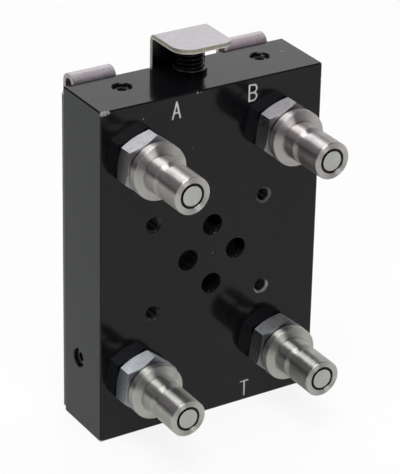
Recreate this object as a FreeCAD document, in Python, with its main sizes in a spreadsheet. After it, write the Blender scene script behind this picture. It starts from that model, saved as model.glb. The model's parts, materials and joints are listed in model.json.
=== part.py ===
import FreeCAD, Part
import math
import os

import Sketcher
from FreeCAD import Placement, Rotation, Vector

# Connection plate for one directional valve: a drilled manifold block with the standard size 6 valve
# pattern on its face, four flat-face nipples in its corners, two sheet hooks behind it for hanging it
# on a rail, and a sprung latch in the middle that grips the rail from below.
#
# Frame: X to the right, Y to the back, Z up, millimetres. The origin is the centre of the block's
# bottom face, and the valve face looks towards -Y.

DIMENSIONS = {
    # manifold block
    "block_width": 80.0,
    "block_depth": 23.2,
    "block_height": 115.0,
    "block_bevel": 0.4,
    # valve pattern, measured from the line through ports P and T, halfway up the block
    "pattern_line": 0.5,
    "bolt_left": 21.5,
    "bolt_right": 19.0,
    "bolt_left_rise": 15.5,
    "bolt_right_rise": 16.25,
    "bolt_hole_radius": 2.1,
    "bolt_hole_depth": 9.0,
    "bolt_mouth_bevel": 0.7,
    "port_radius": 3.6,
    "port_depth": 4.5,
    "port_side": 8.8,
    "port_rise": 10.4,
    # drilled channels and the plugs that close their outer ends
    "channel_radius": 2.5,
    "channel_inset": 14.1,
    "channel_side_height": 24.3,
    "channel_return": 11.5,
    "slant_radius": 2.2,
    "plug_radius": 3.0,
    "plug_length": 6.0,
    "plug_recess": 1.1,
    "plug_gap": 0.05,
    "plug_bevel": 0.4,
    "plug_socket_radius": 1.75,
    "plug_socket_depth": 3.0,
    "plug_mouth_bevel": 0.35,
    # nipples: insets from the block's sides, foot and top, and lengths from its face outwards
    "nipple_side_inset": 15.0,
    "nipple_foot_inset": 19.4,
    "nipple_top_inset": 18.9,
    "nipple_length": 28.8,
    "nipple_bore_depth": 15.0,
    "thread_radius": 6.5,
    "thread_length": 12.0,
    "thread_bevel": 0.8,
    "thread_gap": 0.05,
    "stem_bore_radius": 4.0,
    "hex_corner": 10.39,
    "hex_length": 6.5,
    "hex_bevel_radius": 8.9,
    "hex_bevel": 0.86,
    "collar_radius": 7.6,
    "collar_length": 1.1,
    "face_seal_inner": 7.0,
    "face_seal_outer": 8.0,
    "face_seal_thickness": 1.2,
    "face_seal_edge": 0.25,
    "seal_gap": 0.03,
    "seat_radius": 6.0,
    "seat_bottom": 1.5,
    "spigot_gap": 0.05,
    "spigot_groove_start": 4.6,
    "spigot_groove_length": 1.4,
    "body_seal_thickness": 0.9,
    "flange_radius": 9.25,
    "flange_length": 2.7,
    "flange_bevel": 0.25,
    "flange_face_rise": 0.8,
    "shoulder_radius": 6.6,
    "neck_length": 0.5,
    "neck_depth": 0.2,
    "probe_radius": 6.15,
    "probe_bevel": 0.25,
    "lock_groove_start": 16.2,
    "lock_groove_depth": 1.05,
    "lock_groove_floor": 1.35,
    "lock_groove_rise": 0.5,
    "chamber_radius": 4.2,
    "throat_radius": 3.6,
    "throat_length": 2.1,
    "ring_radius": 4.15,
    "ring_length": 2.2,
    "ring_recess": 0.45,
    "poppet_radius": 3.2,
    "poppet_gap": 0.05,
    "poppet_head_radius": 3.95,
    "poppet_head_length": 2.0,
    "poppet_head_gap": 0.1,
    "poppet_stem_radius": 1.25,
    "poppet_stem_overhang": 3.0,
    "guide_radius": 5.9,
    "guide_thickness": 1.7,
    "guide_hub_radius": 2.2,
    "guide_hub_front": 1.3,
    "guide_hub_back": 2.5,
    "guide_bore_gap": 0.05,
    "guide_hole_radius": 0.8,
    "guide_hole_ring": 3.15,
    "valve_spring_radius": 2.9,
    "valve_spring_wire": 0.7,
    "valve_spring_turns": 8.0,
    # back plate with its two hooks
    "plate_sheet": 1.5,
    "plate_side_inset": 0.4,
    "plate_foot_inset": 1.4,
    "plate_top_inset": 2.8,
    "hook_width": 15.0,
    "hook_spread": 27.8,
    "hook_line": -0.9,
    "hook_gap": 3.8,
    "hook_rise": 1.5,
    "hook_drop": 3.2,
    "hook_flare": 0.5,
    "hook_flare_length": 1.4,
    "screw_radius": 1.45,
    "screw_gap": 0.05,
    "screw_length": 7.5,
    "screw_head_radius": 2.85,
    "screw_head_height": 1.4,
    "screw_side_inset": 6.0,
    "screw_end_inset": 6.5,
    "screw_socket_radius": 1.15,
    "screw_socket_depth": 1.0,
    # latch
    "latch_sheet": 1.5,
    "latch_line": 0.3,
    "latch_width": 19.2,
    "latch_rise": 11.6,
    "latch_reach": 18.5,
    "latch_corner_left": 6.0,
    "latch_corner_right": 3.0,
    "latch_bend": 1.1,
    "latch_gap": 0.1,
    "latch_side_gap": 0.45,
    "latch_foot": 58.0,
    "latch_shoulder_rise": 6.0,
    "latch_foot_width": 17.0,
    "latch_lip_gap": 3.6,
    "latch_lip_height": 6.5,
    "latch_travel": 5.0,
    "window_gap": 0.5,
    # latch spring and the cup that it stands in
    "spring_inset": 8.0,
    "spring_wire": 0.9,
    "spring_radius": 3.95,
    "spring_turns": 12.0,
    "cup_radius": 4.6,
    "cup_wall": 0.8,
    "cup_depth": 8.0,
    "cup_floor": 1.0,
    "cup_stand": 1.6,
    "cup_edge": 0.15,
    "cup_gap": 0.03,
    # engraved port marks
    "mark_height": 6.0,
    "mark_width": 3.4,
    "mark_stroke": 0.7,
    "mark_depth": 0.2,
    "mark_spread": 13.8,
    "mark_top_gap": 1.85,
    "mark_foot_gap": 1.5,
}

# Side of the block, level and turn of the hexagon in degrees, under each nipple's port letter.
NIPPLES = {
    "a": (-1, "high", 22.0),
    "b": (1, "high", 20.5),
    "p": (-1, "low", 21.0),
    "t": (1, "low", 19.0),
}

# Where the expressions below start from.
FRONT = "-block_depth / 2"
BACK = "block_depth / 2"
PATTERN_HEIGHT = "block_height / 2"
NIPPLE_SPREAD = "(block_width / 2 - nipple_side_inset)"
NIPPLE_LEVELS = {"high": "block_height - nipple_top_inset", "low": "nipple_foot_inset"}
CHANNEL_Y = "channel_inset - block_depth / 2"
PLATE_TOP = "(block_height - plate_top_inset)"
HOOK_CENTRE = "(block_height - plate_top_inset + hook_rise)"
HOOK_Y = "block_depth / 2 + plate_sheet + hook_gap / 2"
LATCH_TOP = "block_height + latch_rise"
SPRING_MOUTH = ("pattern_line", "block_depth / 2 - spring_inset", "block_height")
SPIGOT_START = "seat_bottom + guide_thickness"
FLANGE_START = "hex_length + collar_length"
THROAT_START = "nipple_length - ring_length - throat_length"
POPPET_SHOULDER = "nipple_length - ring_length - throat_length - poppet_head_gap"
POPPET_BACK = "nipple_length - ring_length - throat_length - poppet_head_gap - poppet_head_length"
FLOW_HOLES = 6

# Corners nearer to each other than this, in millimetres, count as one.
SAME_PLACE = 0.01

doc = FreeCAD.newDocument("connection_plate")
sheet = doc.addObject("Spreadsheet::Sheet", "sizes")
for row, (alias, value) in enumerate(DIMENSIONS.items(), start=1):
    sheet.set(f"A{row}", alias)
    sheet.set(f"B{row}", str(value))
    sheet.setAlias(f"B{row}", alias)
doc.recompute()

INTO = Rotation(Vector(0, 0, 1), Vector(0, 1, 0))
OUT = Rotation(Vector(0, 0, 1), Vector(0, -1, 0))
UP = Rotation()
DOWN = Rotation(Vector(0, 0, 1), Vector(0, 0, -1))
LEFTWARD = Rotation(Vector(0, 0, 1), Vector(-1, 0, 0))
RIGHTWARD = Rotation(Vector(0, 0, 1), Vector(1, 0, 0))

parts = []


def worded(expression):
    """An expression with each dimension's name led by the sheet's name."""
    words, word = [], ""
    for letter in expression + " ":
        if letter.isalnum() or letter == "_":
            word += letter
            continue
        words.append("sizes." + word if word in DIMENSIONS else word)
        words.append(letter)
        word = ""
    return "".join(words).strip()


def size(expression):
    """The number that an expression of dimensions has now."""
    value = sheet.evalExpression(worded(expression).replace("sizes.", ""))
    return float(getattr(value, "Value", value))


def bind(thing, **expressions):
    for name, expression in expressions.items():
        thing.setExpression(name, worded(expression))
    return thing


def place(thing, at, turn=None):
    """Puts a thing at three expressions, turned by a rotation."""
    thing.Placement = Placement(Vector(*(size(value) for value in at)), turn or UP)
    for axis, value in zip("xyz", at):
        thing.setExpression(f"Placement.Base.{axis}", worded(value))
    return thing


def cylinder(name, radius, length, at, turn=None):
    rod = doc.addObject("Part::Cylinder", name)
    return place(bind(rod, Radius=radius, Height=length), at, turn)


def cone(name, start, end, length, at, turn=None):
    taper = doc.addObject("Part::Cone", name)
    return place(bind(taper, Radius1=start, Radius2=end, Height=length), at, turn)


def box(name, width, depth, height, at, turn=None):
    block = doc.addObject("Part::Box", name)
    return place(bind(block, Length=width, Width=depth, Height=height), at, turn)


def prism(name, sides, radius, length, at, turn=None):
    bar = doc.addObject("Part::Prism", name)
    bar.Polygon = sides
    return place(bind(bar, Circumradius=radius, Height=length), at, turn)


def fused(name, shapes):
    union = doc.addObject("Part::MultiFuse", name)
    union.Shapes = shapes
    union.Refine = True
    return union


def cut(name, base, tool):
    result = doc.addObject("Part::Cut", name)
    result.Base = base
    result.Tool = tool
    result.Refine = True
    return result


def origin_plane(body, role):
    return next(feature for feature in body.Origin.OriginFeatures if feature.Role == role)


def outline_sketch(body, name, role, outline):
    """A closed outline of straight lines, each corner held by its two expressions."""
    sketch = body.newObject("Sketcher::SketchObject", name)
    sketch.AttachmentSupport = [(origin_plane(body, role), "")]
    sketch.MapMode = "FlatFace"
    corners = [Vector(size(across), size(along), 0) for across, along in outline]
    count = len(corners)
    sketch.addGeometry([Part.LineSegment(corners[i], corners[(i + 1) % count]) for i in range(count)], False)
    sketch.addConstraint([Sketcher.Constraint("Coincident", i, 2, (i + 1) % count, 1) for i in range(count)])
    for index, (across, along) in enumerate(outline):
        corner = corners[index]
        for kind, axis, expression, value in (
            ("DistanceX", -2, across, corner.x),
            ("DistanceY", -1, along, corner.y),
        ):
            if expression == "0":
                sketch.addConstraint(Sketcher.Constraint("PointOnObject", index, 1, axis))
                continue
            held = sketch.addConstraint(Sketcher.Constraint(kind, -1, 1, index, 1, value))
            sketch.setExpression(f"Constraints[{held}]", worded(expression))
    return sketch


def named(thing, label):
    """Marks a finished piece of the assembly, which is written under its label."""
    thing.Label = label
    parts.append(thing)
    return thing


def turned(label, outline, at, turn):
    """A piece turned on a lathe: the outline is (radius, length along the axis)."""
    body = doc.addObject("PartDesign::Body", label)
    sketch = outline_sketch(body, label + "_outline", "XZ_Plane", outline)
    spin = body.newObject("PartDesign::Revolution", label + "_turning")
    spin.Profile = sketch
    spin.ReferenceAxis = (sketch, ["V_Axis"])
    spin.Angle = 360.0
    body.Tip = spin
    return place(body, at, turn)


def coil(label, radius, wire, turns, length, at, turn=None):
    """A helical spring whose wire touches both ends of the given length, in faces of half a turn."""
    helix = doc.addObject("Part::Helix", label + "_helix")
    helix.SegmentLength = 0.5
    bind(
        helix,
        Radius=radius,
        Height=f"{length} - {wire}",
        Pitch=f"({length} - {wire}) / {turns}",
    )
    place(helix, ("0", "0", f"{wire} / 2"))
    profile = doc.addObject("Part::Circle", label + "_wire")
    bind(profile, Radius=f"{wire} / 2")
    place(profile, (radius, "0", f"{wire} / 2"), OUT)
    sweep = doc.addObject("Part::Sweep", label)
    sweep.Sections = [profile]
    sweep.Spine = (helix, [])
    sweep.Solid = True
    sweep.Frenet = True
    return place(sweep, at, turn)


def edges_where(feature, wanted):
    """Names of a feature's edges whose two ends pass a test."""
    names = []
    for number, edge in enumerate(feature.Shape.Edges, start=1):
        if wanted(edge.Vertexes[0].Point, edge.Vertexes[-1].Point):
            names.append(f"Edge{number}")
    return names


def padded(label, role, outline, length):
    """A body with one pad, drawn on one of its own origin planes."""
    body = doc.addObject("PartDesign::Body", label)
    sketch = outline_sketch(body, label + "_outline", role, outline)
    pad = body.newObject("PartDesign::Pad", label + "_pad")
    pad.Profile = sketch
    bind(pad, Length=length)
    body.Tip = pad
    doc.recompute()
    return body


def dressed(body, kind, name, wanted, **sizes):
    """Adds a fillet or chamfer on the edges of the body's tip that pass a test."""
    base = body.Tip
    names = edges_where(base, wanted)
    feature = body.newObject(f"PartDesign::{kind}", name)
    feature.Base = (base, names)
    bind(feature, **sizes)
    body.Tip = feature
    doc.recompute()
    return body


def bend(body, name, corners, radius):
    """Rounds the folds of a strip, whose outline lies in Y and Z, at the given corners."""
    points = [Vector(0, size(across), size(along)) for across, along in corners]

    def at_corner(first, last):
        flat = Vector(0, first.y, first.z)
        return abs(first.x - last.x) > 1 and any(
            flat.distanceToPoint(point) < SAME_PLACE for point in points
        )

    return dressed(body, "Fillet", name, at_corner, Radius=radius)


PLUGS = {
    "plug_top_left": ((f"pattern_line - {NIPPLE_SPREAD}", CHANNEL_Y, "block_height"), DOWN),
    "plug_top_right": ((f"pattern_line + {NIPPLE_SPREAD}", CHANNEL_Y, "block_height"), DOWN),
    "plug_side_left": (("-block_width / 2", CHANNEL_Y, "channel_side_height"), RIGHTWARD),
    "plug_side_right": (("block_width / 2", CHANNEL_Y, "channel_side_height"), LEFTWARD),
    "plug_bottom_middle": (("pattern_line", CHANNEL_Y, "0"), UP),
    "plug_bottom_right": (("pattern_line + channel_return", CHANNEL_Y, "0"), UP),
}


def bevelled_mouth(name, radius, bevel, at, turn):
    """The funnel that breaks the edge of a hole's mouth."""
    return cone(name, f"{radius} + {bevel}", radius, bevel, at, turn)


def valve_pattern():
    """Four bolt holes and the four ports of the valve face."""
    cuts = []
    left, right = "pattern_line - bolt_left", "pattern_line + bolt_right"
    bolts = {
        "upper_left": (left, f"{PATTERN_HEIGHT} + bolt_left_rise"),
        "upper_right": (right, f"{PATTERN_HEIGHT} + bolt_right_rise"),
        "lower_left": (left, f"{PATTERN_HEIGHT} - bolt_left_rise"),
        "lower_right": (right, f"{PATTERN_HEIGHT} - bolt_right_rise"),
    }
    for name, (across, up) in bolts.items():
        at = (across, FRONT, up)
        cuts.append(cylinder(f"bolt_hole_{name}", "bolt_hole_radius", "bolt_hole_depth", at, INTO))
        cuts.append(bevelled_mouth(f"bolt_mouth_{name}", "bolt_hole_radius", "bolt_mouth_bevel", at, INTO))
    ports = {
        "a": ("pattern_line - port_side", PATTERN_HEIGHT, "port_depth"),
        "b": ("pattern_line + port_side", PATTERN_HEIGHT, "port_depth"),
        "t": ("pattern_line", f"{PATTERN_HEIGHT} + port_rise", "port_depth"),
        "p": ("pattern_line", f"{PATTERN_HEIGHT} - port_rise", "channel_inset"),
    }
    for name, (across, up, depth) in ports.items():
        cuts.append(cylinder(f"port_{name}", "port_radius", depth, (across, FRONT, up), INTO))
    return cuts


def slanted_bore(name, across, up, reach, side):
    """A bore from a port's mouth to the channel beside it, at the port's level."""
    bore = doc.addObject("Part::Cylinder", name)
    bind(bore, Radius="slant_radius", Height=f"sqrt(({reach})^2 + channel_inset^2)")
    way = Vector(side * size(reach), size("channel_inset"), 0)
    return place(bore, (across, FRONT, up), Rotation(Vector(0, 0, 1), way))


def channels():
    """The drilled ways from the valve's ports to the nipples, with their plug seats."""
    side_reach = f"{NIPPLE_SPREAD} - port_side"
    down_to_row = f"block_height - {PATTERN_HEIGHT} + channel_radius"
    lengths = {
        "plug_top_left": down_to_row,
        "plug_top_right": down_to_row,
        "plug_side_left": "block_width / 2 + pattern_line",
        "plug_side_right": "block_width / 2 - pattern_line - channel_return",
        "plug_bottom_middle": f"{PATTERN_HEIGHT} - port_rise",
        "plug_bottom_right": f"{PATTERN_HEIGHT} + port_rise + channel_radius",
    }
    cuts = [
        slanted_bore("slant_a", "pattern_line - port_side", PATTERN_HEIGHT, side_reach, -1),
        slanted_bore("slant_b", "pattern_line + port_side", PATTERN_HEIGHT, side_reach, 1),
        slanted_bore("slant_t", "pattern_line", f"{PATTERN_HEIGHT} + port_rise", "channel_return", 1),
    ]
    for name, (at, turn) in PLUGS.items():
        cuts.append(cylinder(f"{name}_channel", "channel_radius", lengths[name], at, turn))
        cuts.append(cylinder(f"{name}_seat", "plug_radius", "plug_recess + plug_length", at, turn))
        cuts.append(bevelled_mouth(f"{name}_mouth", "plug_radius", "plug_mouth_bevel", at, turn))
    for name, (side, level, _) in NIPPLES.items():
        at = (f"{side} * {NIPPLE_SPREAD}", FRONT, NIPPLE_LEVELS[level])
        radius = "thread_radius + thread_gap"
        cuts.append(cylinder(f"nipple_bore_{name}", radius, "nipple_bore_depth", at, INTO))
        cuts.append(bevelled_mouth(f"nipple_mouth_{name}", radius, "plug_mouth_bevel", at, INTO))
    return cuts


def stroke(start, end, width, depth):
    """A straight stroke of an engraved mark, in the mark's own plane, with square ends."""
    way = end - start
    bar = Part.makeBox(way.Length + width, width, depth)
    bar.translate(Vector(-width / 2, -width / 2, 0))
    bar.rotate(Vector(), Vector(0, 0, 1), math.degrees(math.atan2(way.y, way.x)))
    bar.translate(start)
    return bar


def bow(centre, radius, width, depth):
    """The round right half of a stroke."""
    half = Part.makeCylinder(radius + width / 2, depth, Vector(), Vector(0, 0, 1), 180)
    half = half.cut(Part.makeCylinder(radius - width / 2, depth))
    half.rotate(Vector(), Vector(0, 0, 1), -90)
    half.translate(centre)
    return half


def mark_shape(letter, half, low, high, width, depth):
    """A port's letter: its strokes' axes lie within half to each side and from low to high."""
    middle = (low + high) / 2
    lines, bows = [], []
    if letter == "T":
        lines = [((-half, high), (half, high)), ((0, low), (0, high))]
    elif letter == "A":
        bar = low + (high - low) / 3
        lean = half * (high - bar) / (high - low)
        lines = [((-half, low), (0, high)), ((half, low), (0, high)), ((-lean, bar), (lean, bar))]
    else:
        levels = [high, middle, low] if letter == "B" else [high, middle]
        radius = (high - middle) / 2
        lines = [((-half, low), (-half, high))]
        lines += [((-half, level), (half - radius, level)) for level in levels]
        bows = [Vector(half - radius, level - radius, 0) for level in levels[:-1]]
    shapes = [stroke(Vector(*start, 0), Vector(*end, 0), width, depth) for start, end in lines]
    shapes += [bow(centre, radius, width, depth) for centre in bows]
    return shapes[0].multiFuse(shapes[1:])


def port_marks():
    """The letters of the four ports, engraved beside their nipples."""
    width, depth = size("mark_stroke"), size("mark_depth")
    half = (size("mark_width") - width) / 2
    low, high = width / 2, size("mark_height") - width / 2
    feet = {"high": size("block_height - mark_top_gap - mark_height"), "low": size("mark_foot_gap")}
    cuts = []
    for name, (side, level, _) in NIPPLES.items():
        mark = doc.addObject("Part::Feature", f"mark_{name}")
        mark.Shape = mark_shape(name.upper(), half, low, high, width, 2 * depth)
        corner = Vector(size("pattern_line") + side * size("mark_spread"), size(FRONT) + depth, feet[level])
        mark.Placement = Placement(corner, Rotation(Vector(1, 0, 0), 90))
        cuts.append(mark)
    return cuts


def latch_recesses():
    """The groove behind the block for the latch's leg, and the bore for its spring's cup."""
    groove_width = "latch_width + 2 * latch_side_gap"
    groove_foot = "latch_foot - latch_travel - window_gap"
    return [
        box(
            "latch_groove",
            groove_width,
            "latch_sheet + 2 * latch_gap",
            f"block_height - ({groove_foot})",
            (f"latch_line - ({groove_width}) / 2", f"{BACK} - latch_sheet - 2 * latch_gap", groove_foot),
        ),
        cylinder("cup_bore", "cup_radius + cup_wall + cup_gap", "cup_depth + cup_floor", SPRING_MOUTH, DOWN),
    ]


def screw_places():
    """Where the plate's screws enter the block, at its back face."""
    across = "block_width / 2 - screw_side_inset"
    return [
        (f"{sign} * ({across})", BACK, up)
        for sign in (-1, 1)
        for up in ("plate_foot_inset + screw_end_inset", f"{PLATE_TOP} - screw_end_inset")
    ]


def manifold_block():
    half_width, half_depth = "block_width / 2", "block_depth / 2"
    outline = [
        (f"-{half_width}", f"-{half_depth}"),
        (half_width, f"-{half_depth}"),
        (half_width, half_depth),
        (f"-{half_width}", half_depth),
    ]
    blank = padded("block_blank", "XY_Plane", outline, "block_height")
    dressed(blank, "Chamfer", "block_edges", lambda first, last: True, Size="block_bevel")
    cuts = valve_pattern() + channels() + latch_recesses() + port_marks()
    for number, at in enumerate(screw_places()):
        cuts.append(cylinder(f"screw_hole_{number}", "screw_radius + screw_gap", "screw_length", at, OUT))
    named(cut("manifold_block", blank, fused("block_drillings", cuts)), "manifold_block")


def channel_plugs():
    """Socket plugs, each sunk a little below its face of the block."""
    for name, (at, turn) in PLUGS.items():
        radius = "plug_radius - plug_gap"
        start, end = "plug_recess", "plug_recess + plug_length"
        outline = [
            ("0", start),
            (f"{radius} - plug_bevel", start),
            (radius, f"{start} + plug_bevel"),
            (radius, f"{end} - plug_bevel"),
            (f"{radius} - plug_bevel", end),
            ("0", end),
        ]
        blank = turned(f"{name}_blank", outline, at, turn)
        depth = "plug_recess + plug_socket_depth"
        socket = prism(f"{name}_socket", 6, "plug_socket_radius", depth, at, turn)
        named(cut(name, blank, socket), name)


def nipple_adapter(name, at, turn):
    """The screwed-in lower half of a nipple: thread, hexagon, and the seat for the nose."""
    foot = "-thread_length"
    top = "hex_length + collar_length"
    outline = [
        ("stem_bore_radius", foot),
        ("thread_radius - thread_bevel", foot),
        ("thread_radius", f"{foot} + thread_bevel"),
        ("thread_radius", "0"),
        ("face_seal_inner", "0"),
        ("face_seal_inner", "face_seal_thickness"),
        ("face_seal_outer", "face_seal_thickness"),
        ("face_seal_outer", "0"),
        ("hex_bevel_radius", "0"),
        ("hex_corner", "hex_bevel"),
        ("hex_corner", "hex_length - hex_bevel"),
        ("hex_bevel_radius", "hex_length"),
        ("collar_radius", "hex_length"),
        ("collar_radius", top),
        ("seat_radius", top),
        ("seat_radius", "seat_bottom"),
        ("stem_bore_radius", "seat_bottom"),
    ]
    blank = turned(f"adapter_{name}_blank", outline, at, OUT)
    below = (at[0], f"{at[1]} + thread_length", at[2])
    corners = OUT.multiply(Rotation(Vector(0, 0, 1), turn))
    hexagon = prism(f"adapter_{name}_hexagon", 6, "hex_corner", f"thread_length + {top}", below, corners)
    adapter = doc.addObject("Part::Common", f"adapter_{name}")
    adapter.Base = blank
    adapter.Tool = hexagon
    adapter.Refine = True
    named(adapter, f"adapter_{name}")


def nipple_nose(name, at):
    """The outer half of a nipple: spigot, coned flange, and the flat-faced probe with its lock groove."""
    spigot = "seat_radius - spigot_gap"
    groove_floor = f"{spigot} - body_seal_thickness"
    groove_end = "spigot_groove_start + spigot_groove_length"
    flange_end = f"{FLANGE_START} + flange_length"
    shoulder_end = f"{flange_end} + flange_face_rise"
    neck = "probe_radius - neck_depth"
    floor = "probe_radius - lock_groove_depth"
    ramp_end = "lock_groove_start + lock_groove_depth"
    floor_end = f"{ramp_end} + lock_groove_floor"
    outline = [
        ("chamber_radius", SPIGOT_START),
        (spigot, SPIGOT_START),
        (spigot, "spigot_groove_start"),
        (groove_floor, "spigot_groove_start"),
        (groove_floor, groove_end),
        (spigot, groove_end),
        (spigot, FLANGE_START),
        ("flange_radius - flange_bevel", FLANGE_START),
        ("flange_radius", f"{FLANGE_START} + flange_bevel"),
        ("flange_radius", f"{flange_end} - flange_bevel"),
        ("flange_radius - flange_bevel", flange_end),
        ("shoulder_radius", shoulder_end),
        (neck, shoulder_end),
        (neck, f"{shoulder_end} + neck_length"),
        ("probe_radius", f"{shoulder_end} + neck_length + neck_depth"),
        ("probe_radius", "lock_groove_start"),
        (floor, ramp_end),
        (floor, floor_end),
        ("probe_radius", f"{floor_end} + lock_groove_rise"),
        ("probe_radius", "nipple_length - probe_bevel"),
        ("probe_radius - probe_bevel", "nipple_length"),
        ("ring_radius", "nipple_length"),
        ("ring_radius", "nipple_length - ring_length"),
        ("throat_radius", "nipple_length - ring_length"),
        ("throat_radius", THROAT_START),
        ("chamber_radius", THROAT_START),
    ]
    named(turned(f"nose_{name}", outline, at, OUT), f"nose_{name}")


def bevelled_ring(label, inner, outer, start, end, edge, at):
    """A ring with a small bevel on each of its four edges."""
    outline = [
        (inner, f"{start} + {edge}"),
        (f"{inner} + {edge}", start),
        (f"{outer} - {edge}", start),
        (outer, f"{start} + {edge}"),
        (outer, f"{end} - {edge}"),
        (f"{outer} - {edge}", end),
        (f"{inner} + {edge}", end),
        (inner, f"{end} - {edge}"),
    ]
    named(turned(label, outline, at, OUT), label)


def nipple_seals(name, at):
    """The seal under the hexagon, the one around the spigot, and the ring around the poppet."""
    bevelled_ring(
        f"port_seal_{name}",
        "face_seal_inner + seal_gap",
        "face_seal_outer - seal_gap",
        "0",
        "face_seal_thickness",
        "face_seal_edge",
        at,
    )
    bevelled_ring(
        f"tip_seal_{name}",
        "poppet_radius + poppet_gap",
        "ring_radius - seal_gap",
        "nipple_length - ring_length",
        "nipple_length - ring_recess",
        "seal_gap",
        at,
    )
    seal = doc.addObject("Part::Torus", f"body_seal_{name}")
    spigot = "seat_radius - spigot_gap"
    bind(seal, Radius1=f"{spigot} - body_seal_thickness / 2", Radius2="body_seal_thickness / 2")
    middle = "spigot_groove_start + spigot_groove_length / 2"
    place(seal, (at[0], f"{at[1]} - ({middle})", at[2]), OUT)
    named(seal, f"body_seal_{name}")


def nipple_poppet(name, at):
    """The valve in the probe: a flat disc flush with the tip, a head behind it and a guided stem."""
    outline = [
        ("0", "-poppet_stem_overhang"),
        ("poppet_stem_radius", "-poppet_stem_overhang"),
        ("poppet_stem_radius", POPPET_BACK),
        ("poppet_head_radius", POPPET_BACK),
        ("poppet_head_radius", POPPET_SHOULDER),
        ("poppet_radius", POPPET_SHOULDER),
        ("poppet_radius", "nipple_length"),
        ("0", "nipple_length"),
    ]
    named(turned(f"poppet_{name}", outline, at, OUT), f"poppet_{name}")


def spring_guide(name, at):
    """The disc between adapter and nose that guides the poppet's stem and carries its spring."""
    front = "seat_bottom + guide_thickness"
    bore = "poppet_stem_radius + guide_bore_gap"
    outline = [
        (bore, "seat_bottom - guide_hub_back"),
        ("guide_hub_radius", "seat_bottom - guide_hub_back"),
        ("guide_hub_radius", "seat_bottom"),
        ("guide_radius", "seat_bottom"),
        ("guide_radius", front),
        ("guide_hub_radius", front),
        ("guide_hub_radius", f"{front} + guide_hub_front"),
        (bore, f"{front} + guide_hub_front"),
    ]
    blank = turned(f"guide_{name}_blank", outline, at, OUT)
    holes = []
    for number in range(FLOW_HOLES):
        turn = number * 360 / FLOW_HOLES
        hole_at = (
            f"{at[0]} + guide_hole_ring * cos({turn} deg)",
            f"{at[1]} - seat_bottom",
            f"{at[2]} + guide_hole_ring * sin({turn} deg)",
        )
        holes.append(
            cylinder(f"guide_{name}_hole_{number}", "guide_hole_radius", "guide_thickness", hole_at, OUT)
        )
    drilled = cut(f"spring_guide_{name}", blank, fused(f"guide_{name}_holes", holes))
    named(drilled, f"spring_guide_{name}")


def nipple(name, side, level, turn):
    at = (f"{side} * {NIPPLE_SPREAD}", FRONT, NIPPLE_LEVELS[level])
    nipple_adapter(name, at, turn)
    nipple_nose(name, at)
    nipple_seals(name, at)
    nipple_poppet(name, at)
    spring_guide(name, at)
    seat = (at[0], f"{at[1]} - ({SPIGOT_START})", at[2])
    length = f"{POPPET_BACK} - ({SPIGOT_START})"
    label = f"valve_spring_{name}"
    spring = coil(label, "valve_spring_radius", "valve_spring_wire", "valve_spring_turns", length, seat, OUT)
    named(spring, label)


def plate_hook(side):
    """A hook of the plate's own sheet, folded over to the back, its tail slightly flared."""
    left = f"hook_line + ({side}) * hook_spread - hook_width / 2"
    word = "left" if side < 0 else "right"
    inner, outer = "hook_gap / 2", "hook_gap / 2 + plate_sheet"
    leg = box(
        f"hook_{word}_leg",
        "hook_width",
        "plate_sheet",
        f"{HOOK_CENTRE} - {PLATE_TOP} / 2",
        (left, BACK, f"{PLATE_TOP} / 2"),
    )
    crown = cylinder(f"hook_{word}_crown", outer, "hook_width", (left, HOOK_Y, HOOK_CENTRE), RIGHTWARD)
    hollow = cylinder(f"hook_{word}_hollow", inner, "hook_width", (left, HOOK_Y, HOOK_CENTRE), RIGHTWARD)
    below = box(
        f"hook_{word}_below",
        "hook_width",
        f"2 * ({outer})",
        outer,
        (left, BACK, f"{HOOK_CENTRE} - ({outer})"),
    )
    bowed = cut(f"hook_{word}_bow", crown, fused(f"hook_{word}_inside", [hollow, below]))
    tail_front, tail_back = f"{HOOK_Y} + {inner}", f"{HOOK_Y} + {outer}"
    knee = f"{HOOK_CENTRE} - hook_drop"
    end = f"{knee} - hook_flare_length"
    outline = [
        (tail_front, HOOK_CENTRE),
        (tail_front, knee),
        (f"{tail_front} + hook_flare", end),
        (f"{tail_back} + hook_flare", end),
        (tail_back, knee),
        (tail_back, HOOK_CENTRE),
    ]
    tail = padded(f"hook_{word}_tail", "YZ_Plane", outline, "hook_width")
    place(tail, (left, "0", "0"))
    return [leg, bowed, tail]


def back_plate():
    """The sheet behind the block, with the window for the latch's foot and the countersunk holes."""
    flat = box(
        "plate_flat",
        "block_width - 2 * plate_side_inset",
        "plate_sheet",
        f"{PLATE_TOP} - plate_foot_inset",
        ("plate_side_inset - block_width / 2", BACK, "plate_foot_inset"),
    )
    window_width = "latch_foot_width + 2 * window_gap"
    cuts = [
        box(
            "latch_window",
            window_width,
            "plate_sheet",
            "latch_travel + latch_sheet + latch_bend + 2 * window_gap",
            (
                f"latch_line - ({window_width}) / 2",
                BACK,
                "latch_foot - latch_travel - window_gap",
            ),
        )
    ]
    for number, at in enumerate(screw_places()):
        outside = (at[0], f"{at[1]} + plate_sheet", at[2])
        cuts.append(
            cylinder(f"plate_hole_{number}", "screw_radius + screw_gap", "plate_sheet", at, INTO)
        )
        cuts.append(
            cone(
                f"plate_countersink_{number}",
                "screw_head_radius + screw_gap",
                "screw_radius + screw_gap",
                "screw_head_height",
                outside,
                OUT,
            )
        )
    blank = fused("plate_blank", [flat, *plate_hook(-1), *plate_hook(1)])
    named(cut("back_plate", blank, fused("plate_cuts", cuts)), "back_plate")


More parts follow.
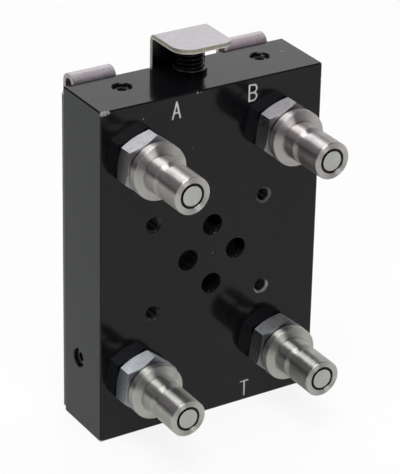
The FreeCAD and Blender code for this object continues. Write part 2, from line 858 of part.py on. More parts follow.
def plate_screws():
    """The four countersunk socket screws that hold the plate."""
    screws = []
    for number, at in enumerate(screw_places()):
        outside = (at[0], f"{at[1]} + plate_sheet", at[2])
        outline = [
            ("0", "0"),
            ("screw_head_radius", "0"),
            ("screw_radius", "screw_head_height"),
            ("screw_radius", "screw_length"),
            ("0", "screw_length"),
        ]
        blank = turned(f"screw_{number}_blank", outline, outside, OUT)
        socket = prism(f"screw_{number}_socket", 6, "screw_socket_radius", "screw_socket_depth", outside, OUT)
        screws.append(cut(f"screw_{number}", blank, socket))
    group = doc.addObject("Part::Compound", "plate_screws")
    group.Links = screws
    named(group, "plate_screws")


def latch_slide():
    """The latch: a tab to press, a leg down behind the block and a foot that hooks upwards."""
    leg_back = f"{BACK} - latch_gap"
    leg_front = f"{BACK} - latch_gap - latch_sheet"
    tab_front = f"{BACK} - latch_gap - latch_reach"
    underside = f"{LATCH_TOP} - latch_sheet"
    shoulder = "latch_foot + latch_shoulder_rise"
    leg = padded(
        "latch_leg",
        "YZ_Plane",
        [
            (tab_front, LATCH_TOP),
            (tab_front, underside),
            (leg_front, underside),
            (leg_front, shoulder),
            (leg_back, shoulder),
            (leg_back, LATCH_TOP),
        ],
        "latch_width",
    )
    for side, across in (("left", "0"), ("right", "latch_width")):
        corner = Vector(size(across), size(tab_front), 0)

        def at_corner(first, last):
            return all(corner.distanceToPoint(Vector(end.x, end.y, 0)) < SAME_PLACE for end in (first, last))

        dressed(leg, "Fillet", f"tab_corner_{side}", at_corner, Radius=f"latch_corner_{side}")
    bend(leg, "tab_fold_inside", [(leg_front, underside)], "latch_bend")
    bend(leg, "tab_fold_outside", [(leg_back, LATCH_TOP)], "latch_bend + latch_sheet")
    place(leg, ("latch_line - latch_width / 2", "0", "0"))
    lip_front = f"{BACK} + plate_sheet + latch_lip_gap"
    lip_back = f"{lip_front} + latch_sheet"
    floor = "latch_foot + latch_sheet"
    lip_top = "latch_foot + latch_lip_height"
    foot = padded(
        "latch_foot_strip",
        "YZ_Plane",
        [
            (leg_front, shoulder),
            (leg_front, "latch_foot"),
            (lip_back, "latch_foot"),
            (lip_back, lip_top),
            (lip_front, lip_top),
            (lip_front, floor),
            (leg_back, floor),
            (leg_back, shoulder),
        ],
        "latch_foot_width",
    )
    bend(foot, "foot_fold_inside", [(lip_front, floor), (leg_back, floor)], "latch_bend")
    outside = [(leg_front, "latch_foot"), (lip_back, "latch_foot")]
    bend(foot, "foot_fold_outside", outside, "latch_bend + latch_sheet")
    place(foot, ("latch_line - latch_foot_width / 2", "0", "0"))
    named(fused("latch_slide", [leg, foot]), "latch_slide")


def spring_cup():
    """The cup pressed into the block's top, which stands a little above it and holds the latch's spring."""
    outside = "cup_radius + cup_wall"
    rim = "cup_floor + cup_depth + cup_stand"
    outline = [
        ("0", "0"),
        (outside, "0"),
        (outside, f"{rim} - cup_edge"),
        (f"{outside} - cup_edge", rim),
        ("cup_radius", rim),
        ("cup_radius", "cup_floor"),
        ("0", "cup_floor"),
    ]
    bottom = (SPRING_MOUTH[0], SPRING_MOUTH[1], "block_height - cup_depth - cup_floor")
    named(turned("spring_cup", outline, bottom, UP), "spring_cup")


def latch_spring():
    """The spring that lifts the latch, standing in its cup and touching the tab's underside."""
    floor = (SPRING_MOUTH[0], SPRING_MOUTH[1], "block_height - cup_depth")
    length = "latch_rise - latch_sheet + cup_depth"
    named(coil("latch_spring", "spring_radius", "spring_wire", "spring_turns", length, floor, UP), "latch_spring")


manifold_block()
channel_plugs()
for letter, (side, level, turn) in NIPPLES.items():
    nipple(letter, side, level, turn)
back_plate()
plate_screws()
latch_slide()
spring_cup()
latch_spring()
doc.recompute()

for thing in doc.Objects:
    if {"Invalid", "Error"} & set(thing.State):
        raise RuntimeError(f"{thing.Name} doesn't compute: {thing.State}")

os.makedirs("parts", exist_ok=True)
for piece in parts:
    shape = piece.Shape
    if shape.isNull() or not shape.isValid() or not shape.Solids:
        raise RuntimeError(f"{piece.Label} has no valid solid")
    shape.exportStep(f"parts/{piece.Label}.step")
    print(f"{piece.Label}: {len(shape.Solids)} solid(s), {shape.Volume:.1f} mm3")
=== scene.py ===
import json
import math
from functools import cached_property

import bpy
from mathutils import Matrix, Vector


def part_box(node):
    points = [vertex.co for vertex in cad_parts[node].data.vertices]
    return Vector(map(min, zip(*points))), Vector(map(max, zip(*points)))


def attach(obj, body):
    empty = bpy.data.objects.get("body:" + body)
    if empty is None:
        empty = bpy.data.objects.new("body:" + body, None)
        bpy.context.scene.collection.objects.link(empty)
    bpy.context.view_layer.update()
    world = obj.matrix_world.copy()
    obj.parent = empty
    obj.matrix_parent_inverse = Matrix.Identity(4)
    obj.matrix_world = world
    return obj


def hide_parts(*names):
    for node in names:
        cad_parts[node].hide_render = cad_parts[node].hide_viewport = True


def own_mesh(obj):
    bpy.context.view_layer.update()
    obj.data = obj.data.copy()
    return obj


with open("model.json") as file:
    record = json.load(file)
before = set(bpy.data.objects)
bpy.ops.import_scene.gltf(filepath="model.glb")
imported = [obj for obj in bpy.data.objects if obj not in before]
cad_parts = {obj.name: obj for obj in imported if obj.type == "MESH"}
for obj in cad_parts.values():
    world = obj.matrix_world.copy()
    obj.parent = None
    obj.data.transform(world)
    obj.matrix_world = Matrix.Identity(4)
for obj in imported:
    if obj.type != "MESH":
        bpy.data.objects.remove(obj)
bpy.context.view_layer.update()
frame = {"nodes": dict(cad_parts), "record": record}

scene = bpy.context.scene
scene.view_settings.view_transform = "Standard"


# Places on the part, in metres

MM = 0.001
MOUNTS = {mount["name"]: mount for mount in frame["record"]["mounts"]}
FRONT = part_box("manifold_block")[0].y
TAB_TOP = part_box("latch_slide")[1].z

# How far a mask fades at each of its ends
SHARP = 0.02 * MM
SOFT = 0.1 * MM


def centre(mount):
    """A mount's place on the front face, as x and z."""
    x, _, z = MOUNTS[mount]["pos_m"]
    return x, z


def bolt_holes(mount):
    """The upper and the lower hole of a pair of bolt holes, as x and z."""
    x, z = centre(mount)
    half = MOUNTS[mount]["dims"]["spacing_y_mm"] * MM / 2
    return (x, z + half), (x, z - half)


NIPPLES = {key: centre(f"nipple_{key}") for key in "abpt"}
PORTS = [centre(f"valve_port_{key}") for key in "abtp"]
PORT_RADIUS = MOUNTS["valve_port_a"]["dims"]["r_mm"] * MM
BOLTS = bolt_holes("valve_bolts_left") + bolt_holes("valve_bolts_right")
BOLT_RADIUS = MOUNTS["valve_bolts_left"]["dims"]["hole_r_mm"] * MM


# Camera

# The view that fits the photograph. It turns about the middle of the front face's lower edge,
# and right, up and distance lead from there to the camera, in millimetres.
CAMERA = {
    "azimuth": -32.0865,
    "elevation": 26.8617,
    "roll": 1.1904,
    "right": -2.2446,
    "up": 56.7607,
    "distance": 815.0,
    "focal_px": 2494.25,
    "frame_px": 474.0,
}
SENSOR_MM = 36.0


def add_camera():
    a, e, r = (math.radians(CAMERA[key]) for key in ("azimuth", "elevation", "roll"))
    back = Vector((math.sin(a) * math.cos(e), -math.cos(a) * math.cos(e), math.sin(e)))
    right = Vector((0, 0, 1)).cross(back).normalized()
    up = back.cross(right)
    right, up = (
        math.cos(r) * right + math.sin(r) * up,
        math.cos(r) * up - math.sin(r) * right,
    )
    place = right * CAMERA["right"] + up * CAMERA["up"] + back * CAMERA["distance"]
    data = bpy.data.cameras.new("photo_camera")
    data.sensor_width = SENSOR_MM
    data.lens = SENSOR_MM * CAMERA["focal_px"] / CAMERA["frame_px"]
    data.clip_start, data.clip_end = 0.01, 50.0
    camera = bpy.data.objects.new("photo_camera", data)
    scene.collection.objects.link(camera)
    turn = Matrix((right, up, back)).transposed().to_4x4()
    camera.matrix_world = Matrix.Translation(place * MM + Vector((0.0, FRONT, 0.0))) @ turn
    scene.camera = camera


# Node trees

class Nodes:
    """A node tree, built with short calls. Lengths in it are in metres."""

    def __init__(self, tree):
        self.tree = tree

    def node(self, kind, inputs=None, **settings):
        made = self.tree.nodes.new("ShaderNode" + kind)
        for key, value in settings.items():
            setattr(made, key, value)
        for key, value in (inputs or {}).items():
            self.feed(made.inputs[key], value)
        return made

    def feed(self, socket, value):
        """Links an input to another node's output, or gives it a value."""
        if isinstance(value, bpy.types.NodeSocket):
            self.tree.links.new(value, socket)
        else:
            socket.default_value = value

    def math(self, operation, first, second=0.0):
        return self.node("Math", {0: first, 1: second}, operation=operation).outputs[0]

    def product(self, first, *others):
        for other in others:
            first = self.math("MULTIPLY", first, other)
        return first

    def largest(self, first, *others):
        for other in others:
            first = self.math("MAXIMUM", first, other)
        return first

    def inverse(self, mask):
        return self.math("SUBTRACT", 1.0, mask)

    def vector(self, operation, first, second, output="Vector"):
        made = self.node("VectorMath", {0: first, 1: second}, operation=operation)
        return made.outputs[output]

    def slope(self, value, start, end):
        """0 where a value is at its start, 1 at its end, and even between them."""
        inputs = {"Value": value, "From Min": start, "From Max": end}
        return self.node("MapRange", inputs).outputs[0]

    def between(self, value, low, high, fade=SOFT):
        """1 where a value lies between two limits, with soft ends."""
        rise = self.slope(value, low - fade, low + fade)
        fall = self.slope(value, high + fade, high - fade)
        return self.product(rise, fall)

    def ramp(self, value, stops, colours):
        """From one colour or grey level to another, as a value goes from stop to stop."""
        made = self.node("ValToRGB", {"Fac": value})
        for element, stop, colour in zip(made.color_ramp.elements, stops, colours):
            element.position = stop
            element.color = (*as_colour(colour), 1.0)
        return made.outputs["Color"]

    def mix(self, share, first, second):
        """The first colour where the share is 0, and the second where it is 1."""
        made = self.node("Mix", data_type="RGBA")
        self.feed(made.inputs["Factor"], share)
        for name, value in (("A", first), ("B", second)):
            socket = next(i for i in made.inputs if i.name == name and i.type == "RGBA")
            self.feed(socket, value if isinstance(value, bpy.types.NodeSocket) else (*value, 1.0))
        return next(o for o in made.outputs if o.type == "RGBA")


class Shader(Nodes):
    """A material, built with short calls."""

    def __init__(self, name):
        self.material = bpy.data.materials.new(name)
        self.material.use_nodes = True
        super().__init__(self.material.node_tree)
        self.surface = self.tree.nodes["Principled BSDF"]

    @cached_property
    def place(self):
        return self.node("TexCoord").outputs["Object"]

    @cached_property
    def at(self):
        """The x, y and z of the place."""
        return self.node("SeparateXYZ", {0: self.place}).outputs

    @cached_property
    def normal(self):
        return self.node("NewGeometry").outputs["Normal"]

    @cached_property
    def looks(self):
        """How far the surface looks along x, y and z."""
        return self.node("SeparateXYZ", {0: self.normal}).outputs

    def set(self, **values):
        for key, value in values.items():
            self.feed(self.surface.inputs[key.replace("_", " ")], value)

    def noise(self, scale, detail=3.0, roughness=0.5, vector=None, output="Fac"):
        inputs = {"Scale": scale, "Detail": detail, "Roughness": roughness}
        inputs["Vector"] = vector or self.place
        return self.node("TexNoise", inputs).outputs[output]

    def stretched(self, scale):
        """The place, drawn out along an axis by a small scale there."""
        return self.node("Mapping", {"Vector": self.place, "Scale": scale}).outputs[0]

    def bump(self, height, distance, strength=1.0, normal=None):
        inputs = {"Height": height, "Distance": distance, "Strength": strength}
        if normal is not None:
            inputs["Normal"] = normal
        return self.node("Bump", inputs).outputs["Normal"]

    def outer_edges(self, radius, low=0.86, high=0.985):
        """1 on a surface's sharp outer edges, and 0 elsewhere."""
        rounded = self.node("Bevel", {"Radius": radius}, samples=6).outputs["Normal"]
        same = self.vector("DOT_PRODUCT", rounded, self.normal, "Value")
        return self.ramp(same, (low, high), (1.0, 0.0))

    def facing(self, axis, least):
        """1 where the surface looks along an axis, either way, and 0 elsewhere."""
        return self.math("GREATER_THAN", self.math("ABSOLUTE", self.looks[axis]), least)

    def from_axis(self, x, z):
        """The distance from an axis that runs along Y."""
        across = self.math("SUBTRACT", self.at["X"], x)
        up = self.math("SUBTRACT", self.at["Z"], z)
        flat = self.node("CombineXYZ", {0: across, 1: 0.0, 2: up}).outputs[0]
        return self.vector("LENGTH", flat, (0.0, 0.0, 0.0), "Value")

    def near_axis(self, x, z, radius):
        return self.math("LESS_THAN", self.from_axis(x, z), radius)

    def behind_front(self, start, end, fade=SOFT):
        """1 between two depths behind the block's front face."""
        return self.between(self.at["Y"], FRONT + start, FRONT + end, fade)


def as_colour(level):
    """A colour as it is, or a level from 0 to 1 as a grey."""
    return (level,) * 3 if isinstance(level, float) else level


def scaled(colour, share):
    return tuple(part * share for part in colour)


# The block

# Colours. Where there are two, a noise leads from the first to the second.
BLACKS = ((0.0028, 0.0029, 0.0037), (0.0046, 0.0047, 0.0058))
# The left face's greener colour and lower IOR are painted light, for how that side is lit
LEFT_FACE_PAINTED_TINT = (0.006, 0.0125, 0.008)
BLOCK_IOR = 1.30
LEFT_FACE_PAINTED_IOR_LOSS = 0.04
BARE_ALUMINIUM = ((0.24, 0.24, 0.245), (0.42, 0.42, 0.42))
GLINT = (0.85, 0.85, 0.88)
CHALK = ((0.66, 0.66, 0.665), (0.80, 0.80, 0.80))
THREAD_GREY = (0.05, 0.05, 0.05)
RIM_GREY = (0.30, 0.31, 0.32)
BORE_GREY = (0.06, 0.06, 0.065)

# How bare the rims of the bolt holes are, in the order of BOLTS
BARE_RIMS = [0.10, 0.14, 0.40, 0.80]

# How far the masks of the bolt holes' mouths and of the holes' walls reach past the walls
RIM_REACH = 1.1 * MM
WALL_MARGIN = 0.3 * MM

THREAD_PITCH = 0.8 * MM
THREAD_HEIGHT = 0.22 * MM

# Where each feature begins and ends behind the front face
LETTER_FLOORS = (0.13 * MM, 0.3 * MM)
BOLT_MOUTHS = (0.03 * MM, 0.7 * MM)
BOLT_THREADS = (0.6 * MM, 9.2 * MM)
PORT_WALLS = (0.25 * MM, 14.5 * MM)

# Where the letters stand on the front face, across it and in two rows
LETTERS_ACROSS = (-18.0 * MM, 18.0 * MM)
LETTER_ROWS = ((106.0 * MM, 114.4 * MM), (0.9 * MM, 9.0 * MM))

# Chips on the front face: x, z and radius in millimetres
FRONT_CHIPS = [
    (-39.3, 114.5, 1.0),
    (-38.3, 114.4, 0.95),
    (-37.3, 114.5, 0.7),
    (-25.1, 109.9, 0.28),
    (-7.3, 96.2, 0.26),
    (-6.0, 114.3, 0.4),
    (-4.6, 114.3, 0.3),
    (0.9, 57.9, 0.2),
    (5.6, 56.5, 0.16),
    (39.75, 109.4, 0.5),
    (39.7, 114.5, 0.5),
    (12.0, 22.0, 0.14),
]
# Chips on the other faces: x, y, z and radius in millimetres
SIDE_CHIPS = [
    (33.7, 2.1, 115.0, 0.45),
    (-39.9, -2.0, 60.0, 0.2),
    (-39.6, -11.4, 0.5, 0.5),
    (22.0, 11.5, 114.7, 0.3),
    (39.9, 4.0, 30.0, 0.25),
]
# Painted highlights: bright glints inside the mouths of the valve's ports
PORT_PAINTED_GLINTS = [
    (1.6, -11.0, 64.45, 0.42),
    (2.6, -10.6, 65.0, 0.26),
    (8.7, -11.0, 53.95, 0.34),
    (10.2, -10.7, 54.0, 0.30),
    (-8.2, -6.0, 60.9, 0.36),
    (0.6, -10.2, 43.6, 0.42),
    (1.9, -10.8, 43.8, 0.26),
]
# Bright reflections in the plug recesses
PLUG_GLINTS = [
    (-22.9, 3.6, 113.9, 1.1),
    (-24.0, 4.0, 113.9, 0.8),
    (27.1, 3.6, 113.9, 1.2),
    (26.0, 4.0, 113.8, 0.8),
    (-39.4, 3.4, 25.4, 0.5),
    (-39.2, 2.9, 22.6, 0.6),
]


def dots(shader, spots):
    """Uneven dots, each around x, y and z with a radius, in millimetres."""
    wobble = shader.noise(1500.0, 2.0, output="Color")
    wobble = shader.vector("SUBTRACT", wobble, (0.5, 0.5, 0.5))
    wobble = shader.vector("MULTIPLY", wobble, (0.9 * MM,) * 3)
    place = shader.vector("ADD", shader.place, wobble)
    masks = []
    for *spot, radius in spots:
        away = shader.vector("DISTANCE", place, scaled(spot, MM), "Value")
        masks.append(shader.slope(away, radius * MM, radius * 0.6 * MM))
    return shader.largest(*masks)


def block_wear_and_glints(shader):
    """Where the block's black skin is rubbed off its edges, or chipped, with the painted glints in
    the ports' mouths.
    """
    patchy = shader.ramp(shader.noise(260.0, 2.0), (0.56, 0.66), (0.0, 1.0))
    rubbed = shader.product(shader.outer_edges(0.35 * MM, 0.80, 0.97), patchy, 0.25)
    front = [(x, FRONT / MM, z, radius) for x, z, radius in FRONT_CHIPS]
    # Chips, and the painted glints in the ports' mouths
    chipped = dots(shader, front + SIDE_CHIPS + PORT_PAINTED_GLINTS)
    return shader.largest(rubbed, shader.product(chipped, 0.8))


def port_letters(shader):
    """The floors of the engraved letters, in an upper and a lower row."""
    floors = shader.behind_front(*LETTER_FLOORS, SHARP)
    across = shader.between(shader.at["X"], *LETTERS_ACROSS)
    rows = shader.largest(*(shader.between(shader.at["Z"], *row) for row in LETTER_ROWS))
    front = shader.math("LESS_THAN", shader.looks["Y"], -0.5)
    return shader.product(floors, across, rows, front)


def bolt_threads(shader):
    """The walls of the bolt holes, as far in as their threads go."""
    radius = BOLT_RADIUS + WALL_MARGIN
    walls = shader.largest(*(shader.near_axis(*hole, radius) for hole in BOLTS))
    return shader.product(walls, shader.behind_front(*BOLT_THREADS))


def bolt_rims(shader):
    """The bevelled mouths of the bolt holes, each rubbed as much as the photograph shows."""
    radius = BOLT_RADIUS + RIM_REACH
    rims = [
        shader.product(shader.near_axis(*hole, radius), share)
        for hole, share in zip(BOLTS, BARE_RIMS)
    ]
    rubbed = shader.ramp(shader.noise(330.0, 2.0), (0.40, 0.58), (0.15, 1.0))
    mouth = shader.behind_front(*BOLT_MOUTHS, SHARP)
    return shader.product(shader.largest(*rims), mouth, rubbed)


def port_bores(shader):
    """The walls of the valve's ports and of the drilling behind port P."""
    radius = PORT_RADIUS + WALL_MARGIN
    walls = shader.largest(*(shader.near_axis(*port, radius) for port in PORTS))
    return shader.product(walls, shader.behind_front(*PORT_WALLS))


def anodised_black():
    """Smooth black anodised aluminium, bare where it is chipped, engraved or threaded, with painted
    glints in its port mouths and plug recesses and a painted tint on its left face.
    """
    shader = Shader("black_anodise")
    grain = shader.noise(900.0, 3.0, 0.6)
    # The left face, which takes a painted tint and IOR for how it is lit
    left = shader.math("LESS_THAN", shader.looks["X"], -0.9)
    wear_and_glints, letters = block_wear_and_glints(shader), port_letters(shader)
    threads, rims, bores = bolt_threads(shader), bolt_rims(shader), port_bores(shader)
    bare = shader.ramp(shader.noise(1400.0, 2.0), (0.35, 0.65), BARE_ALUMINIUM)
    chalk = shader.ramp(shader.noise(1100.0), (0.3, 0.7), CHALK)

    colour = shader.ramp(grain, (0.35, 0.7), BLACKS)
    for share, tone in (
        (left, LEFT_FACE_PAINTED_TINT),
        (wear_and_glints, bare),
        (dots(shader, PLUG_GLINTS), GLINT),
        (letters, chalk),
        (shader.product(threads, 0.35), THREAD_GREY),
        (rims, RIM_GREY),
        (shader.product(bores, 0.3), BORE_GREY),
    ):
        colour = shader.mix(share, colour, tone)

    turns = shader.math("SINE", shader.product(shader.at["Y"], 2 * math.pi / THREAD_PITCH))
    height = shader.product(turns, threads)
    smooth = shader.ramp(shader.noise(38.0, 4.0), (0.3, 0.75), (0.10, 0.14))
    dull = shader.product(shader.largest(wear_and_glints, letters), 0.55)
    metals = ((wear_and_glints, 0.5), (threads, 0.6), (bores, 0.5), (rims, 0.5))
    shader.set(
        Base_Color=colour,
        Roughness=shader.largest(smooth, dull),
        Metallic=shader.largest(*(shader.product(*metal) for metal in metals)),
        IOR=shader.math("SUBTRACT", BLOCK_IOR, shader.product(left, LEFT_FACE_PAINTED_IOR_LOSS)),
        Normal=shader.bump(height, THREAD_HEIGHT, 1.0, shader.bump(grain, 0.004 * MM, 0.3)),
    )
    return shader.material


# The nipples

# Lighter colour for the nipples' edges, as rubbed steel and as a painted edge highlight
BRIGHT_EDGE = (0.80, 0.79, 0.76)
# Painted highlight on the bevel at each probe's mouth
MOUTH_PAINTED_HIGHLIGHT = (0.93, 0.92, 0.90)
POPPET_STEEL = (0.43, 0.445, 0.42)
# How much colour a poppet's side keeps under its painted shade
POPPET_SIDE_SHADE_SHARE = 0.06
MOUTH_RADII = (3.8 * MM, 4.6 * MM)
# The side of each nose that gets painted shade
PAINTED_SHADE_DIRECTION = (-0.8, 0.0, -0.6)

# Each nose's colour, and how much of it stays where the nose looks down and left, as painted shade.
# The colours differ slightly from nipple to nipple as painted light.
NOSES = {
    "a": ((0.50, 0.488, 0.455), 0.5),
    "b": ((0.505, 0.485, 0.465), 0.25),
    "p": ((0.475, 0.485, 0.435), 0.65),
    "t": ((0.475, 0.483, 0.435), 0.32),
}
# Each hexagon's colour and roughness, and how bright its left flat is beside the others. The
# colours differ from nipple to nipple, and the left flats differ from the rest, as painted light
# and shade.
HEXAGONS = {
    "a": ((0.37, 0.37, 0.375), 0.46, 0.42),
    "b": ((0.28, 0.27, 0.28), 0.44, 0.9),
    "p": ((0.36, 0.385, 0.395), 0.46, 0.65),
    "t": ((0.21, 0.225, 0.225), 0.40, 1.2),
}


def set_bright_metal(shader, colour, roughness, stretch, normal):
    """Bare metal, whose highlights are drawn out around the Y axis."""
    shader.set(
        Base_Color=colour,
        Metallic=1.0,
        Roughness=roughness,
        Anisotropic=stretch,
        Anisotropic_Rotation=0.25,
        Normal=normal,
        Tangent=shader.node("Tangent", direction_type="RADIAL", axis="Y").outputs[0],
    )


def turned_tint(shader, colour):
    """Turned steel's colour, cloudy, and brighter on its edges as rubbed steel and as a painted
    edge highlight.
    """
    tint = shader.ramp(shader.noise(160.0), (0.3, 0.75), (colour, scaled(colour, 0.84)))
    return shader.mix(shader.product(shader.outer_edges(0.22 * MM), 0.5), tint, BRIGHT_EDGE)


def set_turned(shader, tint, radius, rough, stretch):
    """Fine rings around the nipple's axis, on its sides and on its faces."""
    lathe = shader.node("CombineXYZ", {0: radius, 1: shader.at["Y"], 2: 0.0}).outputs[0]
    rings = shader.noise(4200.0, 2.0, 0.55, lathe)
    wide = shader.noise(420.0, 2.0, 0.5, lathe)
    roughness = shader.ramp(wide, (0.3, 0.7), (rough * 0.88, rough * 1.12))
    set_bright_metal(shader, tint, roughness, stretch, shader.bump(rings, 0.003 * MM, 0.5))


def nose_steel(key):
    """Turned steel, with painted shade where it looks down and left and a painted highlight on the
    bevel at the mouth.
    """
    colour, share = NOSES[key]
    shader = Shader(f"turned_steel_{key}")
    radius = shader.from_axis(*NIPPLES[key])
    shade = shader.slope(
        shader.vector("DOT_PRODUCT", shader.normal, PAINTED_SHADE_DIRECTION, "Value"), 0.3, 0.9
    )
    bevel = shader.math("SUBTRACT", shader.facing("Y", 0.3), shader.facing("Y", 0.97))
    mouth = shader.between(radius, *MOUTH_RADII, SHARP)
    tint = shader.mix(shade, turned_tint(shader, colour), scaled(colour, share))
    tint = shader.mix(shader.product(mouth, bevel), tint, MOUTH_PAINTED_HIGHLIGHT)
    set_turned(shader, tint, radius, 0.42, 1.0)
    return shader.material


def poppet_steel(key):
    """The ground steel of a poppet's disc, with painted shade on its side."""
    shader = Shader(f"ground_face_{key}")
    side = scaled(POPPET_STEEL, POPPET_SIDE_SHADE_SHARE)
    tint = shader.mix(shader.facing("Y", 0.9), side, turned_tint(shader, POPPET_STEEL))
    set_turned(shader, tint, shader.from_axis(*NIPPLES[key]), 0.36, 0.5)
    return shader.material


def milled_steel(key):
    """The hexagon's bright metal, with faint milling lines and small knocks, edges brighter as
    rubbed steel and as a painted highlight, and painted light and shade on its left flat.
    """
    colour, rough, left_flat_painted_share = HEXAGONS[key]
    shader = Shader(f"milled_steel_{key}")
    lines = shader.noise(2400.0, 2.0, 0.6, shader.stretched((1.0, 0.12, 1.0)))
    knocks = shader.noise(520.0, 3.0, 0.6)
    tint = shader.ramp(knocks, (0.35, 0.62), (scaled(colour, 0.82), colour))
    tint = shader.mix(shader.product(shader.outer_edges(0.2 * MM), 0.5), tint, BRIGHT_EDGE)
    # Painted light and shade: the left flat's own tone
    left = shader.math("LESS_THAN", shader.looks["X"], -0.9)
    tint = shader.mix(left, tint, scaled(colour, left_flat_painted_share))
    roughness = shader.ramp(lines, (0.3, 0.7), (rough * 0.9, rough * 1.1))
    roughness = shader.product(roughness, shader.inverse(shader.product(left, 0.35)))
    normal = shader.bump(lines, 0.006 * MM, 0.5, shader.bump(knocks, 0.02 * MM, 0.25))
    set_bright_metal(shader, tint, roughness, 1.0, normal)
    return shader.material


# The sheet parts

SMUDGE = (0.52, 0.42, 0.43)
HOLLOW_SHADE = (0.09, 0.08, 0.085)
HOOK_BLUSH = (0.66, 0.50, 0.54)
# Painted highlight along the tab's burr
TAB_BURR_HIGHLIGHT = (0.62, 0.61, 0.55)
HOOK_ENDS = (0.40, 0.375, 0.385)

# Heights between which the hooks rise, and where the right one stands
HOOKS_START = 112.0 * MM
HOOKS_END = 116.4 * MM
RIGHT_HOOK = (12.0 * MM, 40.0 * MM)

# Depths behind which there is only the plate, and only the hooks' and the foot's tails
PLATE_START = 11.0 * MM
TAILS_START = 14.5 * MM

LATCH_SHEET = 1.5 * MM
BURR_HEIGHT = 0.35 * MM


def plate_edges(shader):
    """The plate's and the hooks' sheared sides, and the plate's lower edge."""
    low = shader.math("LESS_THAN", shader.at["Z"], 5.0 * MM)
    return shader.largest(shader.facing("X", 0.6), shader.product(low, shader.facing("Z", 0.6)))


def latch_edges(shader):
    """The sheared rim of the tab, and the sides of the leg below it."""
    tab = shader.math("GREATER_THAN", shader.at["Z"], TAB_TOP - LATCH_SHEET - 2 * SOFT)
    front = shader.math("LESS_THAN", shader.at["Y"], 8.0 * MM)
    rim = shader.product(tab, front, shader.inverse(shader.facing("Z", 0.5)))
    return shader.largest(shader.facing("X", 0.6), rim)


def sheet_tint(shader, colour, grit):
    """The sheet's colour: cloudy, smudged and flecked, with painted shade inside the hooks and on
    the leg.
    """
    upper = shader.math("GREATER_THAN", shader.at["Z"], HOOKS_START)
    coarse = shader.math("ADD", shader.product(upper, 0.65 * grit), 0.35 * grit)
    fleck = shader.ramp(shader.noise(1300.0, 4.0, 0.75), (0.36, 0.62), (1.0, 0.0))
    smudge = shader.ramp(shader.noise(420.0, 4.0, 0.65), (0.50, 0.72), (0.0, 0.35))
    front = shader.math("LESS_THAN", shader.looks["Y"], -0.3)
    inside = shader.product(shader.math("GREATER_THAN", shader.at["Y"], TAILS_START), front)
    below_tab = shader.math("LESS_THAN", shader.at["Z"], TAB_TOP - LATCH_SHEET - SOFT)
    leg = shader.product(below_tab, front, 1.0 - grit)
    right = shader.between(shader.at["X"], *RIGHT_HOOK, 1.0 * MM)
    foot = shader.between(shader.at["Z"], HOOKS_START, HOOKS_END, 1.2 * MM)
    speckle = shader.ramp(shader.noise(1600.0, 3.0, 0.7), (0.40, 0.60), (0.1, 0.6))

    tint = shader.ramp(shader.noise(55.0), (0.3, 0.75), (colour, scaled(colour, 0.91)))
    tint = shader.mix(smudge, tint, SMUDGE)
    tint = shader.mix(shader.product(fleck, coarse), tint, scaled(colour, 0.62))
    tint = shader.mix(shader.largest(inside, leg), tint, HOLLOW_SHADE)
    return shader.mix(shader.product(right, foot, speckle), tint, HOOK_BLUSH)


def cut_tint(shader, sheared):
    """The torn colour of the sheared edges, lighter on the tab's burr, where it is a painted
    highlight, and on the hooks.
    """
    torn = shader.ramp(shader.noise(700.0), (0.3, 0.75), (sheared, scaled(sheared, 1.4)))
    underside = TAB_TOP - LATCH_SHEET
    burr = shader.between(shader.at["Z"], underside, underside + BURR_HEIGHT)
    upper = shader.math("GREATER_THAN", shader.at["Z"], HOOKS_START)
    behind = shader.math("GREATER_THAN", shader.at["Y"], PLATE_START)
    torn = shader.mix(burr, torn, TAB_BURR_HIGHLIGHT)
    return shader.mix(shader.product(upper, behind), torn, HOOK_ENDS)


def sheet_steel(name, colour, rough, grit, edges, sheared):
    """Satin stainless sheet, gritty or calm, and darker and duller on its sheared edges."""
    shader = Shader(name)
    cut = edges(shader)
    lines = shader.noise(2600.0, 2.0, 0.6, shader.stretched((0.06, 1.0, 1.0)))
    satin = shader.ramp(lines, (0.3, 0.7), (rough * 0.93, rough * 1.07))
    grain = shader.noise(2300.0, 3.0, 0.7)
    shader.set(
        Base_Color=shader.mix(cut, sheet_tint(shader, colour, grit), cut_tint(shader, sheared)),
        Metallic=shader.inverse(shader.product(cut, 0.45)),
        Roughness=shader.largest(satin, shader.product(cut, 0.5)),
        Normal=shader.bump(lines, 0.002 * MM, 0.2, shader.bump(grain, 0.03 * MM, grit)),
    )
    return shader.material


# The small parts

# Grey of rubbed edges, also standing in as a painted highlight on them
WEAR_AND_HIGHLIGHT_GREY = (0.30, 0.30, 0.32)
PLAIN_STEELS = ((0.44, 0.44, 0.43), (0.36, 0.36, 0.35))
RUBBERS = ((0.002, 0.002, 0.002), (0.004, 0.004, 0.0045))


def dark_steel(name, tone, rough, rubbed=0.0, rim=False):
    """Blackened steel, grey on its edges or on its whole upper rim, as rubbed wear and as a painted
    highlight.
    """
    shader = Shader(name)
    cloud = shader.noise(300.0)
    colour = shader.ramp(cloud, (0.3, 0.75), (tone, tone * 1.8))
    edge = shader.outer_edges(0.2 * MM)
    if rim:
        edge = shader.largest(shader.facing("Z", 0.6), edge)
    shader.set(
        Base_Color=shader.mix(shader.product(edge, rubbed), colour, WEAR_AND_HIGHLIGHT_GREY),
        Metallic=0.85,
        Roughness=rough,
        Normal=shader.bump(cloud, 0.01 * MM, 0.3),
    )
    return shader.material


def plain_steel():
    shader = Shader("plain_steel")
    cloud = shader.noise(240.0)
    shader.set(
        Base_Color=shader.ramp(cloud, (0.3, 0.75), PLAIN_STEELS),
        Metallic=1.0,
        Roughness=0.32,
        Normal=shader.bump(cloud, 0.008 * MM, 0.3),
    )
    return shader.material


